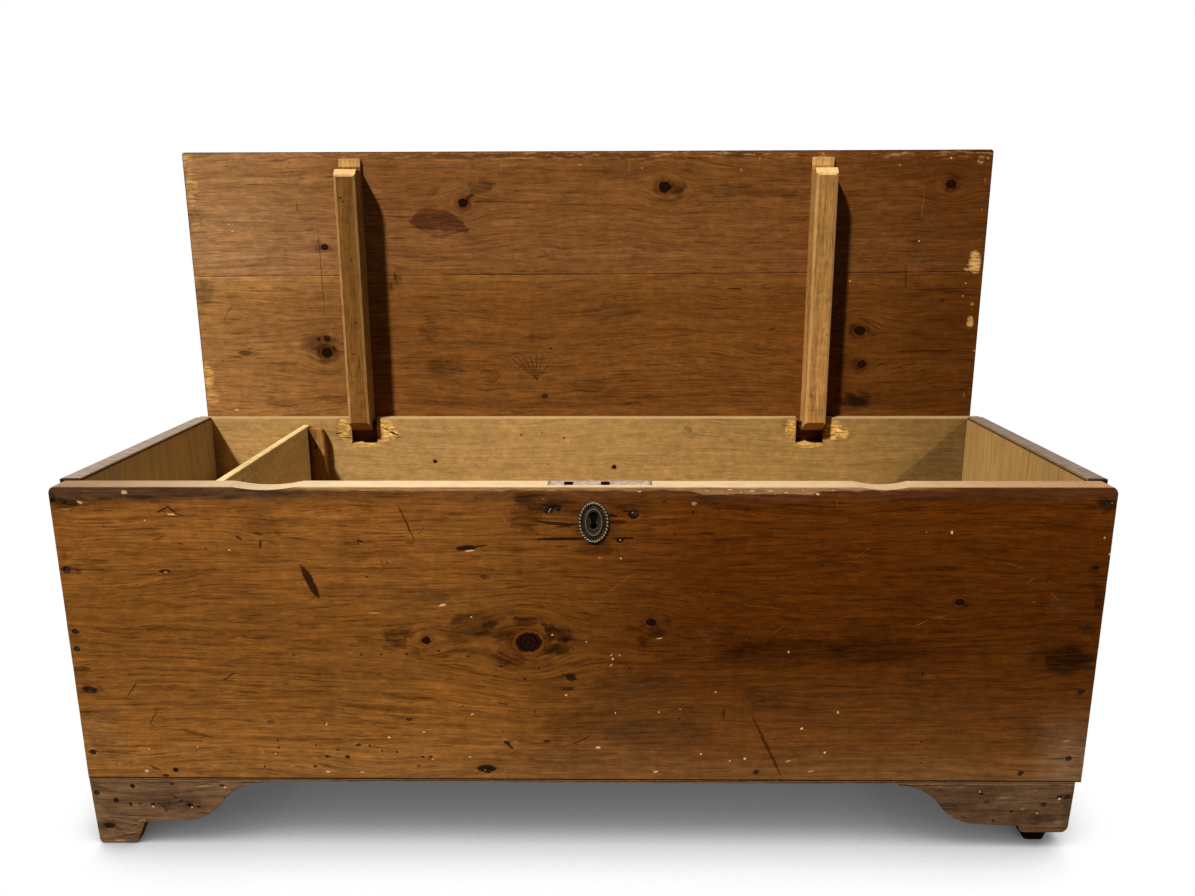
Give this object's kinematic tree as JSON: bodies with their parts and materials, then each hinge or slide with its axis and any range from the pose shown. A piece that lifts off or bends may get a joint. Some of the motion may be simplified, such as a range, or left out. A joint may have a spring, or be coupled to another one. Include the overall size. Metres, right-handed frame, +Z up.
{
  "type": "blanket chest",
  "caption": "Old pine blanket chest with a lift-up lid on inner battens, till, chest lock, oval escutcheon and bracket feet with ogee cut-outs.",
  "frame": {"origin": "middle of the bounding box at floor level, lid open", "axes": "+X along the length towards the right end, +Y from the front to the back, +Z up"},
  "size_m": [1.17, 0.4228, 0.8288],
  "materials": {
    "front_pine": "old waxed pine, worn and stained",
    "side_pine": "old pine, dry inside and waxed outside",
    "inner_pine": "dry bare pine",
    "till_pine": "bare pine with a rubbed top edge",
    "foot_pine": "scuffed dark pine",
    "lid_pine": "old pine, dry and knotty",
    "batten_pine": "bare planed pine",
    "iron": "dull wrought iron",
    "old_brass": "darkened brass"
  },
  "bodies": {
    "box": {"front_board": "front_pine", "left_side_board": "side_pine", "right_side_board": "side_pine", "back_board": "side_pine", "bottom_board": "inner_pine", "till_bottom": "inner_pine", "till_side": "till_pine", "till_cleat_back": "till_pine", "till_cleat_front": "till_pine", "front_bracket_left": "foot_pine", "front_bracket_right": "foot_pine", "rear_bracket_left": "foot_pine", "rear_bracket_right": "foot_pine", "side_bracket_front_left": "foot_pine", "side_bracket_front_right": "foot_pine", "side_bracket_rear_left": "foot_pine", "side_bracket_rear_right": "foot_pine", "corner_block_front_left": "foot_pine", "corner_block_front_right": "foot_pine", "corner_block_rear_left": "foot_pine", "corner_block_rear_right": "foot_pine", "base_strip_front": "foot_pine", "base_strip_back": "foot_pine", "base_strip_left": "foot_pine", "base_strip_right": "foot_pine", "hinge_pin_left": "iron", "hinge_pin_right": "iron", "lock_plate": "iron", "lock_case": "iron", "lock_spring": "iron", "lock_drill_pin": "iron", "lock_screws": "iron", "front_nails": "iron", "back_nails": "iron", "bottom_nails": "iron", "foot_nails": "iron", "till_nails": "iron", "escutcheon": "old_brass", "escutcheon_pins": "old_brass"},
    "lid": {"lid_front_board": "lid_pine", "lid_rear_board": "lid_pine", "lid_batten_left": "batten_pine", "lid_batten_right": "batten_pine", "batten_nails": "iron"},
    "bolt": {"lock_bolt": "iron"}
  },
  "joints": [
    {"name": "lid_hinge", "type": "hinge", "parent": "box", "child": "lid", "pos_m": [0, 0.18033, 0.438], "axis": [1, 0, 0], "range_deg": [0, 90]},
    {"name": "lock_bolt_slide", "type": "slide", "parent": "box", "child": "bolt", "axis": [1, 0, 0], "range_m": [0, 0.01]}
  ]
}
